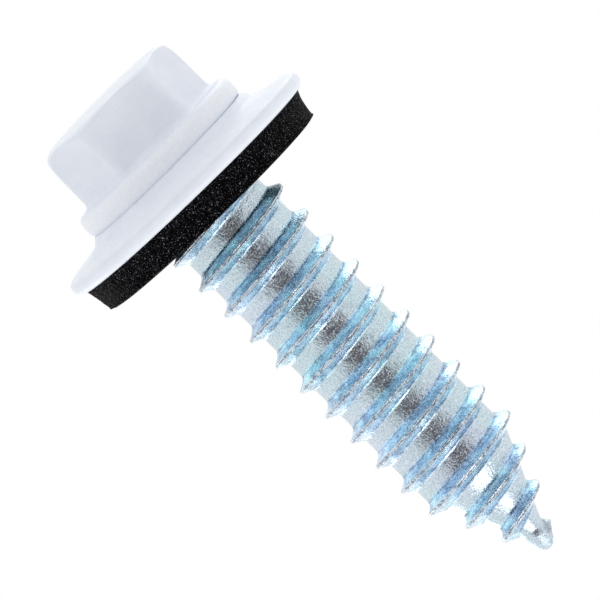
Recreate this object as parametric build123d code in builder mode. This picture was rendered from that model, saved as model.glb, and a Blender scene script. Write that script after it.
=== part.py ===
from build123d import *
from math import cos, pi, radians, sin, tan
import os

# Hex washer head screw with a gimlet point and a captive bonded sealing washer.
# The screw stands on its head: the origin is the centre of the head's top face,
# +Z runs along the shank to the point, and two hex flats face -Y and +Y.
# All sizes are in millimetres.

# Head
hex_across_flats = 7.8
hex_height = 3.6                # head top to the flange shoulder
hex_edge_round = 0.7            # the six upright edges
top_chamfer_radius = 3.45       # where the turned chamfer starts on the head top
top_chamfer_angle = 36.0        # degrees between the chamfer cone and the head top
flange_overhang = 0.85          # shoulder width outside the hex corners
flange_thickness = 1.28
flange_shoulder_chamfer = 0.32
flange_seat_chamfer = 0.28
hex_root_chamfer = 0.3          # blend from the flats to the shoulder

# Shank
length_under_flange = 27.5      # flange seat to the tip
core_diameter = 5.56
neck_diameter = 6.1             # plain blank under the flange
neck_length = 1.5
neck_taper_length = 0.5         # neck down to the thread core

# Point
point_half_angle = 24.3         # degrees
nib_radius = 0.42
nib_length = 0.8
nib_chamfer = 0.15

# Thread, right-handed, one start
thread_pitch = 1.8143           # 14 turns to the inch
thread_height = 0.63            # crest above the core
crest_width = 0.15
head_flank_angle = 33.0         # degrees from the radial line, on the head side
tip_flank_angle = 29.0          # degrees from the radial line, on the point side
thread_start_angle = -37.7      # degrees round from +X
thread_cover = 0.8              # turns of the run-in that the seal hides
thread_run_in = 0.5             # turns from nothing to the full height
thread_run_out = 0.55           # turns from the full height to nothing at the nib
thread_end_from_tip = 0.62
sections_per_turn = 20
thread_root_sink = 0.3          # how far each section reaches into the core
thread_end_sink = 0.03          # how far the crest dips into the core at both ends

# Domed metal washer
washer_diameter = 15.88
washer_thickness = 0.8
washer_bore_diameter = 7.2
crown_diameter = 9.1            # flat seat under the flange
dome_waist_diameter = 11.1      # where the steep part of the dome flares out
dome_waist_drop = 0.38          # below the crown
dome_rim_drop = 0.89            # below the crown, at the start of the rim
rim_overhang = 0.42             # rim outside the rubber
rim_chamfer_height = 0.25

# Rubber seal bonded under the dome
seal_skirt_depth = 1.58         # below the rim's under side
seal_face_diameter = 14.2
seal_edge_chamfer = 0.08

# Clearances
flange_to_crown = 0.02
seal_bore_to_crest = 0.06       # radial

# Derived places along the axis
shoulder_z = hex_height
seat_z = shoulder_z + flange_thickness
tip_z = seat_z + length_under_flange
crown_z = seat_z + flange_to_crown
rim_z = crown_z + dome_rim_drop
seal_face_z = rim_z + washer_thickness + seal_skirt_depth

# Derived radii
core_radius = core_diameter / 2
crest_radius = core_radius + thread_height
hex_corner_radius = (hex_across_flats / 2 - hex_edge_round) / cos(pi / 6) + hex_edge_round
flange_radius = hex_corner_radius + flange_overhang
shoulder_width = flange_overhang - flange_shoulder_chamfer
hex_root_blend = min(hex_root_chamfer, shoulder_width / 1.1)
rim_inner_radius = washer_diameter / 2 - rim_overhang
seal_bore_radius = crest_radius + seal_bore_to_crest
seal_face_radius = seal_face_diameter / 2

# Derived point
point_slope = tan(radians(point_half_angle))
nib_z = tip_z - nib_length
cone_start_z = nib_z - (core_radius - nib_radius) / point_slope

# Derived thread: it starts inside the seal
thread_start_z = seal_face_z - thread_cover * thread_pitch
thread_end_z = tip_z - thread_end_from_tip
thread_turns = (thread_end_z - thread_start_z) / thread_pitch


def core_radius_at(z):
    """Radius of the shank core: a cylinder, then the point's cone, then the nib."""
    return max(nib_radius, core_radius - max(0.0, z - cone_start_z) * point_slope)


def height_at(turn):
    """Thread height after some turns: it grows from the neck and dies at the nib."""
    grown = min(1.0, turn / thread_run_in)
    left = min(1.0, (thread_turns - turn) / thread_run_out)
    share = sin(pi / 2 * grown) * sin(pi / 2 * max(0.0, left))
    return (thread_height + thread_end_sink) * share - thread_end_sink


def tooth_section(turn):
    """The tooth's outline in the plane through the axis, after some turns."""
    z = thread_start_z + turn * thread_pitch
    angle = radians(thread_start_angle + 360 * turn)
    outward = (cos(angle), sin(angle), 0)
    across = (sin(angle), -cos(angle), 0)
    base = core_radius_at(z) - thread_root_sink
    crest = core_radius_at(z) + height_at(turn)
    head_foot = crest_width / 2 + (crest - base) * tan(radians(head_flank_angle))
    tip_foot = crest_width / 2 + (crest - base) * tan(radians(tip_flank_angle))
    with BuildSketch(Plane(origin=(0, 0, z), x_dir=outward, z_dir=across)) as section:
        with BuildLine():
            Polyline(
                (base, -head_foot),
                (crest, -crest_width / 2),
                (crest, crest_width / 2),
                (base, tip_foot),
                close=True,
            )
        make_face()
    return section.sketch


# Screw: hex head, flange, shank, point and thread, formed from one blank
with BuildPart() as screw:
    # Hex with softly rounded upright edges
    with BuildSketch(Plane.XY):
        RegularPolygon(hex_across_flats / 2, 6, major_radius=False)
    extrude(amount=shoulder_z)
    fillet(screw.edges().filter_by(Axis.Z), hex_edge_round)

    # Turned chamfer round the head top, which cuts an arc on each flat
    chamfer_rise = hex_across_flats * tan(radians(top_chamfer_angle))
    with BuildSketch(Plane.XZ):
        with BuildLine():
            Polyline(
                (0, 0),
                (top_chamfer_radius, 0),
                (top_chamfer_radius + hex_across_flats, chamfer_rise),
                (top_chamfer_radius + hex_across_flats, chamfer_rise + shoulder_z),
                (0, chamfer_rise + shoulder_z),
                close=True,
            )
        make_face()
    revolve(axis=Axis.Z, mode=Mode.INTERSECT)

    # Flange with both edges broken
    with BuildSketch(Plane.XZ):
        with BuildLine():
            Polyline(
                (0, shoulder_z),
                (flange_radius, shoulder_z),
                (flange_radius, seat_z),
                (0, seat_z),
                close=True,
            )
        make_face()
    revolve(axis=Axis.Z)
    flange_side = screw.faces().filter_by(GeomType.CYLINDER).sort_by(SortBy.AREA)[-1]
    flange_edges = flange_side.edges().filter_by(GeomType.CIRCLE).sort_by(Axis.Z)
    chamfer(flange_edges[0], flange_shoulder_chamfer)
    flange_side = screw.faces().filter_by(GeomType.CYLINDER).sort_by(SortBy.AREA)[-1]
    flange_edges = flange_side.edges().filter_by(GeomType.CIRCLE).sort_by(Axis.Z)
    chamfer(flange_edges[-1], flange_seat_chamfer)

    # Blend where the flats meet the shoulder
    shoulder = screw.faces().filter_by(Axis.Z).sort_by(Axis.Z)[1]
    chamfer(shoulder.inner_wires()[0].edges(), hex_root_blend)

    # Neck, core, cone and blunt nib
    with BuildSketch(Plane.XZ) as shank_outline:
        with BuildLine():
            Polyline(
                (0, seat_z - flange_thickness / 2),
                (neck_diameter / 2, seat_z - flange_thickness / 2),
                (neck_diameter / 2, seat_z + neck_length),
                (core_radius, seat_z + neck_length + neck_taper_length),
                (core_radius, cone_start_z),
                (nib_radius, nib_z),
                (nib_radius, tip_z),
                (0, tip_z),
                close=True,
            )
        make_face()
        tip_corners = shank_outline.vertices().group_by(Axis.Y)[-1]
        chamfer(tip_corners.sort_by(Axis.X)[-1], nib_chamfer)
    revolve(axis=Axis.Z)

    # Thread: a loft from section to section round the core
    section_count = round(thread_turns * sections_per_turn)
    turns = [thread_turns * step / section_count for step in range(section_count + 1)]
    loft([tooth_section(turn) for turn in turns], ruled=True)


# Bonded sealing washer: a flat crown under the flange, a steep dome that flares to the rim
def dome_corners(depth):
    """The dome's corners from the crown's edge to the rim, at a depth below its outer face."""
    return [
        (crown_diameter / 2, crown_z + depth),
        (dome_waist_diameter / 2, crown_z + dome_waist_drop + depth),
        (rim_inner_radius, rim_z + depth),
    ]


with BuildPart() as metal_washer:
    with BuildSketch(Plane.XZ):
        with BuildLine():
            Polyline(
                (washer_bore_diameter / 2, crown_z + washer_thickness),
                (washer_bore_diameter / 2, crown_z),
                *dome_corners(0),
                (washer_diameter / 2, rim_z + rim_chamfer_height),
                (washer_diameter / 2, rim_z + washer_thickness - rim_chamfer_height),
                *reversed(dome_corners(washer_thickness)),
                close=True,
            )
        make_face()
    revolve(axis=Axis.Z)

# Rubber seal: fills the dome and stands below it as a skirt with a flat face
with BuildPart() as rubber_seal:
    with BuildSketch(Plane.XZ) as seal_outline:
        with BuildLine():
            Polyline(
                (seal_bore_radius, crown_z + washer_thickness),
                *dome_corners(washer_thickness),
                (seal_face_radius, seal_face_z),
                (seal_bore_radius, seal_face_z),
                close=True,
            )
        make_face()
        face_corners = seal_outline.vertices().group_by(Axis.Y)[-1]
        chamfer(face_corners.sort_by(Axis.X)[-1], seal_edge_chamfer)
    revolve(axis=Axis.Z)

screw.part.label = "screw"
metal_washer.part.label = "metal_washer"
rubber_seal.part.label = "rubber_seal"

os.makedirs("parts", exist_ok=True)
export_step(screw.part, "parts/screw.step")
export_step(metal_washer.part, "parts/metal_washer.step")
export_step(rubber_seal.part, "parts/rubber_seal.step")
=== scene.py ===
import math

import bpy
import numpy as np
from mathutils import Matrix, Vector, noise


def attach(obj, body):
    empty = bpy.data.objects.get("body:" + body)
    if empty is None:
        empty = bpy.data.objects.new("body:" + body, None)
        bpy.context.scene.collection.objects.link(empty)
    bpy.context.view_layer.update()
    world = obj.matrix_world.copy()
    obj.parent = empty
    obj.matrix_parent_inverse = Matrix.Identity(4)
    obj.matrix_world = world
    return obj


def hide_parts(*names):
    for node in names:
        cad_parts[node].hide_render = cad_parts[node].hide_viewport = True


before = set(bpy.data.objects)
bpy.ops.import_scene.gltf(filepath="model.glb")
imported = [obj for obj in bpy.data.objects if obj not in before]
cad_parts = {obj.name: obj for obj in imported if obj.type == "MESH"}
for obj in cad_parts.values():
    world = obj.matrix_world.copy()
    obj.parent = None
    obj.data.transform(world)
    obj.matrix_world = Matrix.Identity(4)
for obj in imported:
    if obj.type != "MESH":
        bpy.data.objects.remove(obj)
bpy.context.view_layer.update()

# A hex washer head sealing screw: a white painted head, a domed washer with a rubber ring bonded
# under it, which turns on the shank, and a thread with blue zinc plate down to a gimlet point.

MM = 0.001

# Sizes of the CAD model, in millimetres, with +Z from the head top to the point.
HEX_FLAT = 3.87                 # half the width across flats
SHOULDER_Z = 3.6                # where the flange starts
SEAT_Z = 4.88                   # the flange's under side
FLANGE_RADIUS = 5.245
NECK_RADIUS = 3.05
NECK_END_Z = 6.38
CORE_START_Z = 6.88
CORE_RADIUS = 2.78
POINT_SLOPE = math.tan(math.radians(24.3))
NIB_RADIUS = 0.42
NIB_Z = 31.58
TIP_Z = 32.38
CONE_START_Z = NIB_Z - (CORE_RADIUS - NIB_RADIUS) / POINT_SLOPE

PITCH = 1.8143
THREAD_HEIGHT = 0.63
THREAD_START_Z = 6.7186
THREAD_START_ANGLE = math.radians(-37.7)
THREAD_END_Z = 31.76
RUN_IN = 0.5                    # turns over which the thread grows
RUN_OUT = 0.55                  # turns over which it dies away

CROWN_Z = 4.9                   # the washer's flat top, which turns under the flange
WASHER_BORE = 3.6
WASHER_THICKNESS = 0.8
RIM_START = 7.55                # radius where the dome ends and the rim begins
SEAL_BORE = 3.47
SEAL_TOP_RADIUS = 7.5
SEAL_FACE_RADIUS = 7.1
SEAL_FACE_Z = 8.17


# ---------------------------------------------------------------- mesh helpers

CORNER_LIMIT = 0.48             # share of an edge that the rounding of one corner may take


def make_object(name, points, faces, materials):
    """A smooth-shaded object from points in millimetres."""
    mesh = bpy.data.meshes.new(name)
    mesh.from_pydata([tuple(c * MM for c in p) for p in points], [], faces)
    mesh.validate()
    for face in mesh.polygons:
        face.use_smooth = True
    for material in materials:
        mesh.materials.append(material)
    piece = bpy.data.objects.new(name, mesh)
    bpy.context.scene.collection.objects.link(piece)
    return piece


def rounded_rows(corners, steps):
    """Rows along a profile whose corners are cut back and joined by small curves.

    Each corner is (radius, z, cut), with a radius and z for each column.
    """
    rows = []
    for before, corner, after in zip(corners, corners[1:], corners[2:]):
        here = np.stack([corner[0], corner[1]])
        back = np.stack([before[0], before[1]]) - here
        on = np.stack([after[0], after[1]]) - here
        start = here + back * np.minimum(corner[2] / np.hypot(*back), CORNER_LIMIT)
        end = here + on * np.minimum(corner[2] / np.hypot(*on), CORNER_LIMIT)
        for t in np.linspace(0, 1, steps):
            rows.append((1 - t) ** 2 * start + 2 * t * (1 - t) * here + t * t * end)
    return rows


def quads(here, there):
    """Faces between two neighbouring columns of point numbers."""
    return [(here[k], there[k], there[k + 1], here[k + 1]) for k in range(len(here) - 1)]


def round_noise(angle, lumps, along, seed):
    """Gentle noise from -1 to 1 that closes on itself round the axis.

    More lumps make it finer round the axis, and along is the place down the axis.
    """
    x = lumps * math.cos(angle)
    y = lumps * math.sin(angle)
    return noise.noise(Vector((x + seed, y - seed, along + 2 * seed)))


# ---------------------------------------------------------------- screw

COLUMNS = 200
ANGLES = 2 * math.pi * np.arange(COLUMNS) / COLUMNS

# The barrel that the hex is turned down to: radius and z. It crowns the top and trims the corners.
BARREL = [
    (1.0, 0.01), (2.0, 0.045), (2.8, 0.085), (3.4, 0.12), (3.62, 0.14), (3.75, 0.165),
    (3.84, 0.195), (3.92, 0.23), (4.0, 0.27), (4.08, 0.32), (4.15, 0.39), (4.21, 0.48),
    (4.25, 0.58), (4.28, 0.70), (4.30, 0.83), (4.318, 0.98), (4.332, 1.15), (4.345, 1.4),
    (4.355, 1.8), (4.36, 2.3), (4.36, 2.7),
]
EDGE_SOFTNESS = 0.013           # how softly the flats run into the barrel

# How far the head's corners are cut back, in millimetres, and the rows of each curve.
ROOT_BLEND = 0.62
FLANGE_TOP_ROUND = 0.60
FLANGE_SEAT_ROUND = 0.45
NECK_ROUND = 0.1
CORNER_STEPS = 7
SEAT_RINGS = (4.2, 3.6)         # radii of the rings on the flat seat
HEAD_END_Z = SEAT_Z + 0.3       # where the head's rows hand over to the winding strip
PAINT_END_Z = SEAT_Z + 0.05     # faces wholly beyond it are zinc

# One tooth along the axis: distance from the crest's middle, share of the thread height.
TOOTH = [
    (-0.80, 0.0), (-0.69, 0.0), (-0.60, 0.0), (-0.53, 0.02), (-0.46, 0.075), (-0.38, 0.18),
    (-0.29, 0.36), (-0.20, 0.59), (-0.12, 0.84), (-0.085, 0.96), (-0.055, 1.0), (-0.015, 0.93),
    (0.015, 0.93), (0.055, 1.0), (0.08, 0.96), (0.11, 0.85), (0.18, 0.60), (0.26, 0.36),
    (0.34, 0.18), (0.40, 0.075), (0.46, 0.02), (0.53, 0.0), (0.64, 0.0), (0.80, 0.0),
]
FLANK_SHARES = (0.02, 0.9)      # from the foot of a flank to its top
NICK_DEPTH = 0.012
FIRST_CREST_Z = THREAD_START_Z - THREAD_START_ANGLE / (2 * math.pi) * PITCH    # over +X
TURNS = range(-3, math.ceil((TIP_Z - FIRST_CREST_Z) / PITCH) + 2)              # some to spare
STRIP_ROWS = [(turn, offset, share) for turn in TURNS for offset, share in TOOTH]

# The burr at the point: its place, its spread towards the head and the tip, and its height.
BURR_Z = NIB_Z - 0.08
BURR_SPREAD_BACK = 0.24
BURR_SPREAD_ON = 0.50
BURR_HEIGHT = 0.23
BURR_LEAN = 0.10                # how much lower it is on the +X side
BURR_LUMPS = 0.06

# The nib's round end: radius and z.
NIB_END_Z = TIP_Z - 0.27
NIB_END = [
    (NIB_RADIUS - 0.01, NIB_END_Z), (0.38, TIP_Z - 0.18), (0.31, TIP_Z - 0.10),
    (0.22, TIP_Z - 0.04), (0.12, TIP_Z - 0.01), (0.05, TIP_Z),
]


class Surface:
    """Points of the screw, and for each its flank and how far up the thread it is."""

    def __init__(self):
        """Starts with the middle of the head's top."""
        self.points = [(0.0, 0.0, 0.0)]
        self.flank = [0.0]
        self.rise = [0.0]

    def add(self, radius, z, column, flank=0.0, rise=0.0):
        """Adds a point and gives its number."""
        a = ANGLES[column]
        self.points.append((radius * math.cos(a), radius * math.sin(a), z))
        self.flank.append(flank)
        self.rise.append(rise)
        return len(self.points) - 1


def hex_outline(barrel):
    """Radius of each column where the hex is trimmed to a barrel; corners point to +X."""
    off = (ANGLES % (math.pi / 3)) - math.pi / 6
    flat = HEX_FLAT / np.cos(off)
    return -EDGE_SOFTNESS * np.logaddexp(-flat / EDGE_SOFTNESS, -barrel / EDGE_SOFTNESS)


def head_rows():
    """Rows of the head and flange from the head top to the neck, each (radius, z) by column."""
    one = np.ones(COLUMNS)
    barrel = [np.stack([hex_outline(radius), z * one]) for radius, z in BARREL]
    side, side_z = barrel[-1]
    corners = [
        (side, side_z, 0),
        (side, SHOULDER_Z * one, ROOT_BLEND),
        (FLANGE_RADIUS * one, SHOULDER_Z * one, FLANGE_TOP_ROUND),
        (FLANGE_RADIUS * one, SEAT_Z * one, FLANGE_SEAT_ROUND),
        (NECK_RADIUS * one, SEAT_Z * one, NECK_ROUND),
        (NECK_RADIUS * one, HEAD_END_Z * one, 0),
    ]
    rows = rounded_rows(corners, CORNER_STEPS)
    flange, neck = rows[:-CORNER_STEPS], rows[-CORNER_STEPS:]
    seat = [np.stack([radius * one, SEAT_Z * one]) for radius in SEAT_RINGS]
    end = np.stack([NECK_RADIUS * one, HEAD_END_Z * one])
    return barrel + flange + seat + neck + [end]


def core_radius(z):
    """Radius of the shank without its thread."""
    neck = np.interp(z, [NECK_END_Z, CORE_START_Z], [NECK_RADIUS, CORE_RADIUS])
    cone = CORE_RADIUS - max(0.0, z - CONE_START_Z) * POINT_SLOPE
    return float(neck) if z < CONE_START_Z else max(NIB_RADIUS, cone)


def thread_share(z):
    """Share of the full thread height for a crest at this z."""
    grown = min(1.0, max(0.0, (z - THREAD_START_Z) / PITCH / RUN_IN))
    left = min(1.0, max(0.0, (THREAD_END_Z - z) / PITCH / RUN_OUT))
    return math.sin(math.pi / 2 * grown) * math.sin(math.pi / 2 * left) ** 2


def burr(angle, z):
    """The curl of metal that the rolling dies leave where the thread runs into the point."""
    depth = z - BURR_Z
    near = math.exp(-((depth / (BURR_SPREAD_ON if depth > 0 else BURR_SPREAD_BACK)) ** 2))
    lump = round_noise(angle, 1.2, 1.5 * z, 9.0)
    return near * (BURR_HEIGHT - BURR_LEAN * math.cos(angle) + BURR_LUMPS * lump)


def add_thread_point(surface, column, crest_z, offset, share):
    """Adds a point of the strip: the core with its tooth, small nicks and the burr."""
    a = ANGLES[column]
    z = crest_z + offset
    strength = thread_share(crest_z)
    nick = NICK_DEPTH * share * round_noise(a, 3, 2 * z, 5.0)
    radius = core_radius(z) + THREAD_HEIGHT * strength * share + nick + burr(a, z)
    # The core and the crest are flank 0, the side towards the head -1 and the other one 1.
    on_flank = FLANK_SHARES[0] <= share <= FLANK_SHARES[1]
    flank = math.copysign(1.0, offset) if on_flank else 0.0
    return surface.add(radius, z, column, flank * strength, share * strength)


def strip_column(surface, column, head_end, nib_end):
    """Point numbers of a column of the strip, held between the head's end and the nib's end."""
    ids = []
    for turn, offset, share in STRIP_ROWS:
        crest_z = FIRST_CREST_Z + PITCH * (turn + column / COLUMNS)
        if crest_z + offset <= HEAD_END_Z:
            ids.append(head_end)
        elif crest_z + offset >= NIB_END_Z:
            ids.append(nib_end)
        else:
            ids.append(add_thread_point(surface, column, crest_z, offset, share))
    return ids


def strip_faces(here, there, shift):
    """Faces between two columns of the strip, where shift rows make up for a whole turn."""
    faces = []
    last = len(here) - 1
    for m in range(last):
        low = min(m + shift, last)
        high = min(m + 1 + shift, last)
        ring = [here[m], there[low], there[high], here[m + 1]]
        face = [v for k, v in enumerate(ring) if v != ring[k - 1]]
        if len(set(face)) > 2:
            faces.append(tuple(face))
    return faces


def build_screw(paint, zinc):
    """The whole screw as one closed surface: head rows, then a strip that winds with the thread."""
    surface = Surface()
    rows = head_rows()
    head = [[surface.add(row[0][c], row[1][c], c) for row in rows] for c in range(COLUMNS)]
    nib = [[surface.add(r, z, c) for r, z in NIB_END] for c in range(COLUMNS)]
    strip = [strip_column(surface, c, head[c][-1], nib[c][0]) for c in range(COLUMNS)]
    faces = []
    for c in range(COLUMNS):
        d = (c + 1) % COLUMNS
        faces.append((0, head[d][0], head[c][0]))
        faces += quads(head[c], head[d])
        faces += strip_faces(strip[c], strip[d], len(TOOTH) if d == 0 else 0)
        faces += quads(nib[c], nib[d])
    faces.append(tuple(column[-1] for column in nib))

    screw = make_object("screw_body", surface.points, faces, [paint, zinc])
    for face in screw.data.polygons:
        nearest = min(surface.points[v][2] for v in face.vertices)
        face.material_index = 1 if nearest > PAINT_END_Z else 0
    for label, values in (("flank", surface.flank), ("rise", surface.rise)):
        attribute = screw.data.attributes.new(label, "FLOAT", "POINT")
        attribute.data.foreach_set("value", values)
    return screw


# ---------------------------------------------------------------- sealing washer

# The loose sealing washer leans a little, with its +X side nearer the head.
LEAN = math.radians(1.1)
LEAN_START = 4.9                # radius where the lean sets in, and how far out it is complete
LEAN_SPREAD = 1.7
LEAN_SHIFT = 0.02

WASHER_COLUMNS = 256
DOME_ROWS = 26
BORE_EDGE = 0.03                # how far the edges of the bore are broken
GLUE_GAP = 0.03                 # keeps the metal's under side clear of the seal's top

# The dome, which leaves the flange steeply and then flares: radii, drops and slope.
CROWN_EDGE = 5.1
CROWN_LIFT = 0.015              # the visible crown closes most of the running gap
CROWN_RINGS = [3.62, 4.0, 4.4, 4.75]
DOME_START = 5.5
STEEP_DROP = 0.38
STEEP_WIDTH = 0.42
FLARE_SLOPE = 0.19

# The fold of the washer round the flange's bead, which leaves only a fine crevice: radius and z.
FOLD = [
    (4.92, 4.87), (5.02, 4.835), (5.07, 4.80), (5.10, 4.785), (5.14, 4.787), (5.19, 4.825),
    (5.25, 4.885), (5.33, 4.975), (5.42, 5.07),
]
RIM = [
    (7.70, 5.80), (7.81, 5.85), (7.865, 5.93), (7.892, 6.05), (7.90, 6.20), (7.88, 6.32),
    (7.82, 6.42), (7.73, 6.51), (7.63, 6.57),
]

# The dent beside the fold on the -X side, and the slight waves of the pressed dome.
DENT_RADIUS = 5.25
DENT_WIDTH = 0.25
DENT_DEPTH = 0.07
WAVE_HEIGHT = 0.02
WAVE_START = 5.5
WAVE_SPREAD = 2.4

SEAL_COLUMNS = 480
SEAL_ROWS = 16
FACE_EDGE = 0.1                 # height of the edge between the seal's side and its face

# The cut side of the seal: its hollow, bulge and inset, its roughness, and how far its edge is torn.
SIDE_HOLLOW = 0.07
SIDE_BULGE = 0.05               # fuller on the +X side
SIDE_INSET = 0.03
GROOVE_DEPTH = 0.05
LUMP_DEPTH = 0.03
TORN_DEPTH = 0.07


def leaned(point):
    """A point of the sealing washer once it leans; its crown stays flat against the flange."""
    x, y, z = point
    depth = z - CROWN_Z
    out = min(1.0, max(0.0, (math.hypot(x, y) - LEAN_START) / LEAN_SPREAD))
    lean = LEAN * out * out * (3 - 2 * out)
    return (x * math.cos(lean) + depth * math.sin(lean) - LEAN_SHIFT, y,
            CROWN_Z - x * math.sin(lean) + depth * math.cos(lean))


def lathe(name, profile, columns, material, shape):
    """A closed ring from a closed profile of (radius, z); shape moves each point a little."""
    points, faces = [], []
    count = len(profile)
    for c in range(columns):
        a = 2 * math.pi * c / columns
        for k, ring in enumerate(profile):
            radius, z = shape(a, k, *ring)
            points.append(leaned((radius * math.cos(a), radius * math.sin(a), z)))
    for c in range(columns):
        d = (c + 1) % columns
        for k in range(count):
            n = (k + 1) % count
            faces.append((c * count + k, d * count + k, d * count + n, c * count + n))
    return make_object(name, points, faces, [material])


def dome_z(radius):
    """Height of the dome's upper face, which falls away below the flange."""
    out = max(0.0, radius - CROWN_EDGE)
    steep = STEEP_DROP * (1 - math.exp(-((out / STEEP_WIDTH) ** 1.2)))
    return CROWN_Z + (-CROWN_LIFT + steep + FLARE_SLOPE * out)


def build_washer(paint):
    """The pressed metal washer: flat crown, fold, dome, rolled rim, under side and bore."""
    dome = list(np.linspace(DOME_START, RIM_START, DOME_ROWS))
    crown = [(r, CROWN_Z - CROWN_LIFT) for r in CROWN_RINGS]
    top = crown + FOLD + [(r, dome_z(r)) for r in dome]
    metal = WASHER_THICKNESS - GLUE_GAP
    under = [(r, dome_z(r) + metal) for r in reversed(CROWN_RINGS + dome)]
    bore = [(WASHER_BORE, CROWN_Z + metal - BORE_EDGE), (WASHER_BORE, CROWN_Z + BORE_EDGE)]

    def pressed(a, k, radius, z):
        """Dents the upper face beside the fold, and waves the dome."""
        wave = round_noise(a, 1.3, 0.2 * radius, 3.0)
        if k < len(top):
            near = math.exp(-(((radius - DENT_RADIUS) / DENT_WIDTH) ** 2))
            z += DENT_DEPTH * max(0.0, -math.cos(a)) ** 2 * near
        return radius, z + WAVE_HEIGHT * wave * max(0.0, (radius - WAVE_START) / WAVE_SPREAD)

    return lathe("dome_washer", top + RIM + under + bore, WASHER_COLUMNS, paint, pressed)


def build_seal(rubber):
    """The rubber ring: bonded top, ragged and slightly hollow side, flat face and bore."""
    top_radii = np.linspace(SEAL_BORE, SEAL_TOP_RADIUS, SEAL_ROWS)
    top = [(r, dome_z(r) + WASHER_THICKNESS) for r in top_radii]
    top_z = top[-1][1]
    edge_z = SEAL_FACE_Z - FACE_EDGE
    side = []
    for t in np.linspace(0.03, 1, SEAL_ROWS):
        hollow = SIDE_HOLLOW * math.sin(math.pi * t)
        radius = SEAL_TOP_RADIUS + (SEAL_FACE_RADIUS - SEAL_TOP_RADIUS) * t**0.8 - hollow
        side.append((radius, top_z + (edge_z - top_z) * t))
    lip = [(7.14, SEAL_FACE_Z - 0.06), (7.12, SEAL_FACE_Z - 0.02), (7.05, SEAL_FACE_Z)]
    face = [(r, SEAL_FACE_Z) for r in (6.9, 6.5, 5.8, 5.0, 4.2, 3.6)]
    bore = [(SEAL_BORE, edge_z), (SEAL_BORE, 7.0), (SEAL_BORE, 6.2)]
    skirt = range(len(top), len(top) + len(side) + len(lip))

    def cut(a, k, radius, z):
        """Roughens the side, and tears its lower edge."""
        if k not in skirt:
            return radius, z
        edge = (k - skirt[0]) / len(skirt)
        groove = round_noise(a, 28, 0.3 * z, 1.0)
        lump = round_noise(a, 9, 1.5 * z, 4.0)
        bulge = SIDE_BULGE * (1 + math.cos(a)) * math.sin(math.pi * edge)
        radius += GROOVE_DEPTH * groove + LUMP_DEPTH * lump - SIDE_INSET + bulge
        torn = 1 + round_noise(a, 9, 0.0, 7.0) + round_noise(a, 30, 0.0, 2.0)
        return radius, z - edge**4 * TORN_DEPTH * torn

    return lathe("seal_ring", top + side + lip + face + bore, SEAL_COLUMNS, rubber, cut)


# ---------------------------------------------------------------- node helpers

WHITE = (1.0, 1.0, 1.0)


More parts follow.
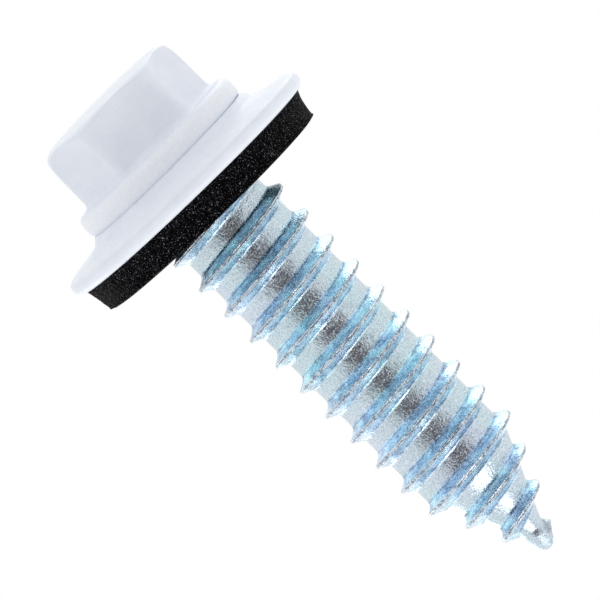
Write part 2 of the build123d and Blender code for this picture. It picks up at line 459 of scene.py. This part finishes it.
class Graph:
    """The nodes of a material or world, with short ways to add and join them.

    A value given to feed may be a socket, a number or a colour of three numbers.
    """

    def __init__(self, owner):
        """Works on the nodes that the material or world already has."""
        owner.use_nodes = True
        self.nodes = owner.node_tree.nodes
        self.links = owner.node_tree.links

    def feed(self, socket, value):
        """Links a socket, or sets it."""
        if isinstance(value, bpy.types.NodeSocket):
            self.links.new(value, socket)
        else:
            socket.default_value = value if isinstance(value, float) else (*value, 1.0)

    def place(self, kind="Object"):
        """Texture coordinates, which are in metres on an object."""
        return self.nodes.new("ShaderNodeTexCoord").outputs[kind]

    def height(self):
        """Place along the screw's axis, in metres from the head top."""
        split = self.nodes.new("ShaderNodeSeparateXYZ")
        self.links.new(self.place(), split.inputs[0])
        return split.outputs["Z"]

    def attribute(self, name):
        """A number that the mesh keeps at each point."""
        attribute = self.nodes.new("ShaderNodeAttribute")
        attribute.attribute_name = name
        return attribute.outputs["Fac"]

    def noise(self, scale, detail=3.0, rough=0.55, stretch=None):
        """Noise with so many waves to the metre; stretch makes its grain run one way."""
        texture = self.nodes.new("ShaderNodeTexNoise")
        texture.inputs["Scale"].default_value = scale
        texture.inputs["Detail"].default_value = detail
        texture.inputs["Roughness"].default_value = rough
        place = self.place()
        if stretch:
            mapping = self.nodes.new("ShaderNodeMapping")
            mapping.inputs["Scale"].default_value = stretch
            self.links.new(place, mapping.inputs["Vector"])
            place = mapping.outputs["Vector"]
        self.links.new(place, texture.inputs["Vector"])
        return texture.outputs["Fac"]

    def ramp(self, source, stops):
        """Colours along a source, from stops of (position, colour)."""
        ramp = self.nodes.new("ShaderNodeValToRGB")
        while len(ramp.color_ramp.elements) < len(stops):
            ramp.color_ramp.elements.new(0.5)
        for element, (position, colour) in zip(ramp.color_ramp.elements, stops):
            element.position = position
            element.color = (*colour, 1.0)
        self.links.new(source, ramp.inputs["Fac"])
        return ramp.outputs["Color"]

    def mix(self, factor, first, second):
        """The first colour where the factor is 0, and the second where it is 1."""
        mix = self.nodes.new("ShaderNodeMix")
        mix.data_type = "RGBA"
        self.feed(mix.inputs[0], factor)
        self.feed(mix.inputs[6], first)
        self.feed(mix.inputs[7], second)
        return mix.outputs[2]

    def scale(self, colour, amount):
        """A colour made brighter or darker."""
        scaled = self.nodes.new("ShaderNodeVectorMath")
        scaled.operation = "SCALE"
        self.links.new(colour, scaled.inputs[0])
        self.links.new(amount, scaled.inputs["Scale"])
        return scaled.outputs["Vector"]

    def span(self, source, from_low, from_high, to_low, to_high):
        """A source stretched from one range of numbers to another, and held within it."""
        ranged = self.nodes.new("ShaderNodeMapRange")
        ranged.inputs["From Min"].default_value = from_low
        ranged.inputs["From Max"].default_value = from_high
        self.feed(ranged.inputs["To Min"], to_low)
        self.feed(ranged.inputs["To Max"], to_high)
        self.links.new(source, ranged.inputs["Value"])
        return ranged.outputs["Result"]

    def maths(self, operation, *sources):
        """An operation on one or two sources, with its result held between 0 and 1."""
        result = self.nodes.new("ShaderNodeMath")
        result.operation = operation
        result.use_clamp = True
        for socket, source in zip(result.inputs, sources):
            self.links.new(source, socket)
        return result.outputs["Value"]

    def bump(self, height, depth, before=None):
        """A normal bent by a height of so many millimetres, over an earlier normal."""
        bump = self.nodes.new("ShaderNodeBump")
        bump.inputs["Distance"].default_value = depth * MM
        bump.inputs["Strength"].default_value = 1.0
        self.links.new(height, bump.inputs["Height"])
        if before is not None:
            self.links.new(before, bump.inputs["Normal"])
        return bump.outputs["Normal"]


def new_material(name):
    """A material with its graph and its shader."""
    material = bpy.data.materials.new(name)
    graph = Graph(material)
    return material, graph, graph.nodes["Principled BSDF"]


# ---------------------------------------------------------------- materials

def paint_material():
    """Satin white powder paint with orange peel, and flecks and a painted highlight that make the bead
    round the flange lighter.
    """
    material, graph, shader = new_material("white_paint")
    mottle = graph.noise(900)
    even = graph.ramp(mottle, [(0.3, (0.79, 0.83, 0.90)), (0.7, (0.84, 0.88, 0.945))])
    # Painted highlight: the bead round the flange is painted lighter than the rest of the paint, with pale
    # flecks.
    fleck = graph.noise(5000, 5.0, 0.75)
    bead_flecks_and_highlight = graph.ramp(fleck, [(0.40, (0.85, 0.885, 0.94)), (0.66, (0.93, 0.95, 0.98))])
    height = graph.height()
    past_shoulder = graph.span(height, 3.6 * MM, 3.9 * MM, 0.0, 1.0)
    bead = graph.span(height, 4.6 * MM, 4.8 * MM, past_shoulder, 0.0)
    graph.feed(shader.inputs["Base Color"], graph.mix(bead, even, bead_flecks_and_highlight))
    peel = graph.noise(8000, 3.0, 0.6)
    wave = graph.noise(1100, 2.0)
    graph.feed(shader.inputs["Normal"], graph.bump(wave, 0.03, graph.bump(peel, 0.022)))
    shader.inputs["Roughness"].default_value = 0.5
    shader.inputs["Specular IOR Level"].default_value = 0.3
    return material


def tint_colour(graph, flank):
    """Tinted zinc in clouds from violet to green: pale roots, and bluer flanks, with the flanks towards
    the head painted darker as painted shade.
    """
    cloud = graph.noise(330)
    clouds = (0.36, 0.50, 0.64)
    roots = ((0.60, 0.69, 0.79), (0.58, 0.70, 0.76), (0.55, 0.70, 0.75))
    point_sides = ((0.57, 0.73, 0.99), (0.54, 0.76, 0.98), (0.50, 0.78, 0.94))
    # Painted shade: the flanks towards the head are a darker copy of those towards the point.
    head_sides = ((0.40, 0.60, 0.92), (0.37, 0.64, 0.90), (0.34, 0.66, 0.85))
    root = graph.ramp(cloud, list(zip(clouds, roots)))
    point_side = graph.ramp(cloud, list(zip(clouds, point_sides)))
    head_side = graph.ramp(cloud, list(zip(clouds, head_sides)))
    onward = graph.span(flank, 0.0, 1.0, 0.0, 0.85)
    behind = graph.span(flank, 0.0, -1.0, 0.0, 0.95)
    return graph.mix(behind, graph.mix(onward, root, point_side), head_side)


def streaked_colour(graph, flank, colour):
    """The flanks' drawn streaks, finer ones within broad smears, both running round the screw; they darken
    the flanks as painted shade and brighten them past their colour as painted highlights.
    """
    streak = graph.noise(14000, 3.0, 0.7, (0.45, 0.45, 1.0))
    smear = graph.noise(2400, 3.0, 0.6, (0.5, 0.5, 1.0))
    # Drawn streaks, partly painted shade and painted highlights: the flank goes from half to twice its
    # colour.
    dark = graph.span(smear, 0.42, 0.60, 0.50, 1.30)
    bright = graph.span(smear, 0.42, 0.60, 1.20, 2.00)
    streaked = graph.scale(colour, graph.span(streak, 0.38, 0.64, dark, bright))
    return graph.mix(graph.maths("ABSOLUTE", flank), colour, streaked)


def crest_colour(graph, rise, colour):
    """The rolled seam: two lips, partly worn and partly painted highlights, broken in places, with painted
    shade as a dark line in the groove between them.
    """
    broken = graph.noise(2200, 2.0, 0.6)
    patchy = graph.span(broken, 0.44, 0.54, 0.15, 0.95)
    # Painted shade: a dark line in the groove between the two lips.
    seam = graph.span(rise, 0.88, 0.93, 0.0, patchy)
    colour = graph.mix(seam, colour, (0.19, 0.24, 0.32))
    worn_and_glinting = graph.noise(5500, 3.0, 0.65)
    # Painted highlights: the lips turn near white in patches, with dark breaks between.
    lip = graph.ramp(worn_and_glinting, [(0.42, (0.13, 0.19, 0.29)), (0.50, (0.86, 0.95, 1.0))])
    ridge = graph.span(rise, 0.94, 1.0, 0.0, 1.0)
    return graph.mix(ridge, colour, lip)


def zinc_colour(graph, rise):
    """Tint, streaks, painted shade as a dark line at the foot of the thread, the crest's seam with its
    painted shade and highlights, and a fine speckle.
    """
    flank = graph.attribute("flank")
    colour = streaked_colour(graph, flank, tint_colour(graph, flank))
    # Painted shade: a dark line round the foot of each flank, where it meets the core.
    foot = graph.ramp(rise, [(0.0, WHITE), (0.06, (0.55, 0.55, 0.55)), (0.20, WHITE)])
    colour = crest_colour(graph, rise, graph.scale(colour, foot))
    speckle = graph.noise(13000, 3.0, 0.7)
    return graph.scale(colour, graph.span(speckle, 0.36, 0.66, 0.70, 1.30))


def zinc_material():
    """Blue zinc plate, bright and finely grained, with near-white specks painted as glints and a duller
    nib.
    """
    material, graph, shader = new_material("blue_zinc")
    rise = graph.attribute("rise")
    # Painted highlights: near-white, barely metallic specks that stand for glints.
    specks = graph.noise(11000, 2.0, 0.6)
    glint_specks = graph.span(specks, 0.56, 0.66, 0.0, 0.75)
    graph.feed(shader.inputs["Base Color"], graph.mix(glint_specks, zinc_colour(graph, rise), (0.90, 0.93, 0.97)))
    bare = graph.span(rise, 0.02, 0.30, 1.0, 0.78)
    graph.feed(shader.inputs["Metallic"], graph.span(glint_specks, 0.0, 1.0, bare, 0.15))
    patches = graph.noise(1800)
    rough = graph.span(patches, 0.3, 0.7, 0.13, 0.30)
    rough = graph.span(graph.height(), 31.1 * MM, 31.6 * MM, rough, 0.45)
    graph.feed(shader.inputs["Roughness"], rough)
    grain = graph.noise(10000, 2.0, 0.6)
    coarse = graph.noise(1900, 2.0)
    graph.feed(shader.inputs["Normal"], graph.bump(coarse, 0.05, graph.bump(grain, 0.032)))
    return material


def rubber_material():
    """Black EPDM with a rough cut side, pale dust and upright fibres."""
    material, graph, shader = new_material("black_rubber")
    dust = graph.noise(15000, 3.0, 0.75)
    dusty = graph.ramp(dust, [(0.61, (0.0, 0.0, 0.0005)), (0.69, (0.42, 0.42, 0.45))])
    fibre = graph.noise(6000, 3.0, 0.6, (1.0, 1.0, 0.12))
    pale = graph.span(fibre, 0.58, 0.74, 0.0, 0.18)
    graph.feed(shader.inputs["Base Color"], graph.mix(pale, dusty, (0.05, 0.05, 0.055)))
    grain = graph.noise(6000, 4.0, 0.7)
    graph.feed(shader.inputs["Normal"], graph.bump(grain, 0.12))
    shader.inputs["Roughness"].default_value = 0.75
    shader.inputs["Specular IOR Level"].default_value = 0.05
    return material


# ---------------------------------------------------------------- studio

CAMERA_AZIMUTH = -84.8                   # degrees
CAMERA_ELEVATION = -4.0
CAMERA_DISTANCE = 0.65                   # metres
SENSOR = 36                              # mm
TIP_ANGLE = math.radians(-44.9)          # how the screw's axis points in the picture
PIXELS_PER_MM = 19.7
PICTURE = 600
AXIS_PIXEL = (301.2, 298.8)              # a point of the axis in the picture
AXIS_POINT_Z = 14.45                     # and its place on the screw, in mm

FLOOR_REACH = 0.6                        # metres
FLOOR_GAP = 0.05 * MM                    # below the head's top

# Soft square lamps: name, azimuth and elevation in degrees, side in metres and power.
LAMPS = [
    ("point_lamp", CAMERA_AZIMUTH, 54, 0.13, 0.20),
    ("rim_lamp", 116, -29, 0.085, 0.10),
    ("low_lamp", 62, 23, 0.08, 0.07),
]
LAMP_DISTANCE = 0.3
LAMP_AIM = Vector((0, 0, 0.016))         # the middle of the screw


def towards(azimuth, elevation):
    """Direction from the screw, from angles in degrees."""
    round_z, up = math.radians(azimuth), math.radians(elevation)
    return Vector((math.cos(up) * math.cos(round_z), math.cos(up) * math.sin(round_z), math.sin(up)))


def build_camera():
    """The camera, level with the screw and rolled so that the point is at the lower right."""
    out = towards(CAMERA_AZIMUTH, CAMERA_ELEVATION)
    level = (-out).cross(Vector((0, 0, 1))).normalized()
    rise = level.cross(-out).normalized()
    turn = TIP_ANGLE - math.pi / 2
    right = math.cos(turn) * level - math.sin(turn) * rise
    up = math.sin(turn) * level + math.cos(turn) * rise
    middle = PICTURE / 2
    aim = Vector((0, 0, AXIS_POINT_Z * MM))
    aim += right * ((middle - AXIS_PIXEL[0]) / PIXELS_PER_MM * MM)
    aim += up * ((AXIS_PIXEL[1] - middle) / PIXELS_PER_MM * MM)
    data = bpy.data.cameras.new("camera")
    data.sensor_width = SENSOR
    data.lens = SENSOR * CAMERA_DISTANCE / (PICTURE / PIXELS_PER_MM * MM)
    data.clip_start = 0.01
    data.clip_end = 20
    camera = bpy.data.objects.new("camera", data)
    bpy.context.scene.collection.objects.link(camera)
    turned = Matrix((right, up, out)).transposed().to_4x4()
    camera.matrix_world = Matrix.Translation(aim + out * CAMERA_DISTANCE) @ turned
    bpy.context.scene.camera = camera


def build_world():
    """A white studio that is dimmer where the camera stands, which the bright metal shows."""
    world = bpy.data.worlds.new("studio")
    bpy.context.scene.world = world
    graph = Graph(world)
    dot = graph.nodes.new("ShaderNodeVectorMath")
    dot.operation = "DOT_PRODUCT"
    graph.feed(dot.inputs[0], graph.place("Generated"))
    dot.inputs[1].default_value = towards(CAMERA_AZIMUTH, CAMERA_ELEVATION)
    front = dot.outputs["Value"]
    soft = graph.ramp(front, [(0.60, WHITE), (0.90, (0.55, 0.55, 0.57))])
    dark = graph.ramp(front, [(0.0, WHITE), (0.74, (0.84, 0.84, 0.86)), (0.92, (0.12, 0.095, 0.10))])
    ray = graph.nodes.new("ShaderNodeLightPath").outputs
    backdrop = graph.mix(ray["Is Camera Ray"], dark, WHITE)
    mirrored = graph.maths("MAXIMUM", ray["Is Glossy Ray"], ray["Is Transmission Ray"])
    sharp = graph.maths("MAXIMUM", ray["Is Camera Ray"], mirrored)
    back = graph.nodes["Background"]
    graph.feed(back.inputs["Color"], graph.mix(sharp, soft, backdrop))
    back.inputs["Strength"].default_value = 1.0


def floor_material():
    """Pale to the camera from above, and clear from below and to every other ray."""
    material = bpy.data.materials.new("floor")
    graph = Graph(material)
    graph.nodes.clear()
    output = graph.nodes.new("ShaderNodeOutputMaterial")
    clear = graph.nodes.new("ShaderNodeBsdfTransparent")
    pale = graph.nodes.new("ShaderNodeBsdfDiffuse")
    pale.inputs["Color"].default_value = (0.9, 0.9, 0.9, 1)
    face = graph.nodes.new("ShaderNodeNewGeometry")
    ray = graph.nodes.new("ShaderNodeLightPath")
    above = graph.maths("SUBTRACT", ray.outputs["Is Camera Ray"], face.outputs["Backfacing"])
    mix = graph.nodes.new("ShaderNodeMixShader")
    graph.feed(mix.inputs[0], above)
    graph.feed(mix.inputs[1], clear.outputs[0])
    graph.feed(mix.inputs[2], pale.outputs[0])
    graph.feed(output.inputs["Surface"], mix.outputs[0])
    return material


def build_floor():
    """A pale floor under the head, seen only from above, which keeps the screw's shadow."""
    reach = FLOOR_REACH
    corners = [(-reach, -reach, 0), (reach, -reach, 0), (reach, reach, 0), (-reach, reach, 0)]
    mesh = bpy.data.meshes.new("floor")
    mesh.from_pydata(corners, [], [(0, 1, 2, 3)])
    floor = bpy.data.objects.new("floor", mesh)
    floor.location.z = -FLOOR_GAP
    bpy.context.scene.collection.objects.link(floor)
    floor.data.materials.append(floor_material())


def build_lamp(name, azimuth, elevation, side, power):
    """A soft square lamp that faces the middle of the screw."""
    data = bpy.data.lights.new(name, "AREA")
    data.size = side
    data.energy = power
    lamp = bpy.data.objects.new(name, data)
    bpy.context.scene.collection.objects.link(lamp)
    direction = towards(azimuth, elevation)
    lamp.location = LAMP_AIM + direction.normalized() * LAMP_DISTANCE
    lamp.rotation_euler = direction.to_track_quat("Z", "Y").to_euler()


# ---------------------------------------------------------------- assembly

white_paint = paint_material()
blue_zinc = zinc_material()
black_rubber = rubber_material()

screw_body = build_screw(white_paint, blue_zinc)
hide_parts("screw")
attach(screw_body, "screw")

dome_washer = build_washer(white_paint)
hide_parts("metal_washer")
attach(dome_washer, "sealing_washer")

seal_ring = build_seal(black_rubber)
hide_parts("rubber_seal")
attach(seal_ring, "sealing_washer")

build_world()
build_floor()
build_camera()
for lamp_settings in LAMPS:
    build_lamp(*lamp_settings)

bpy.context.scene.view_settings.view_transform = "Standard"
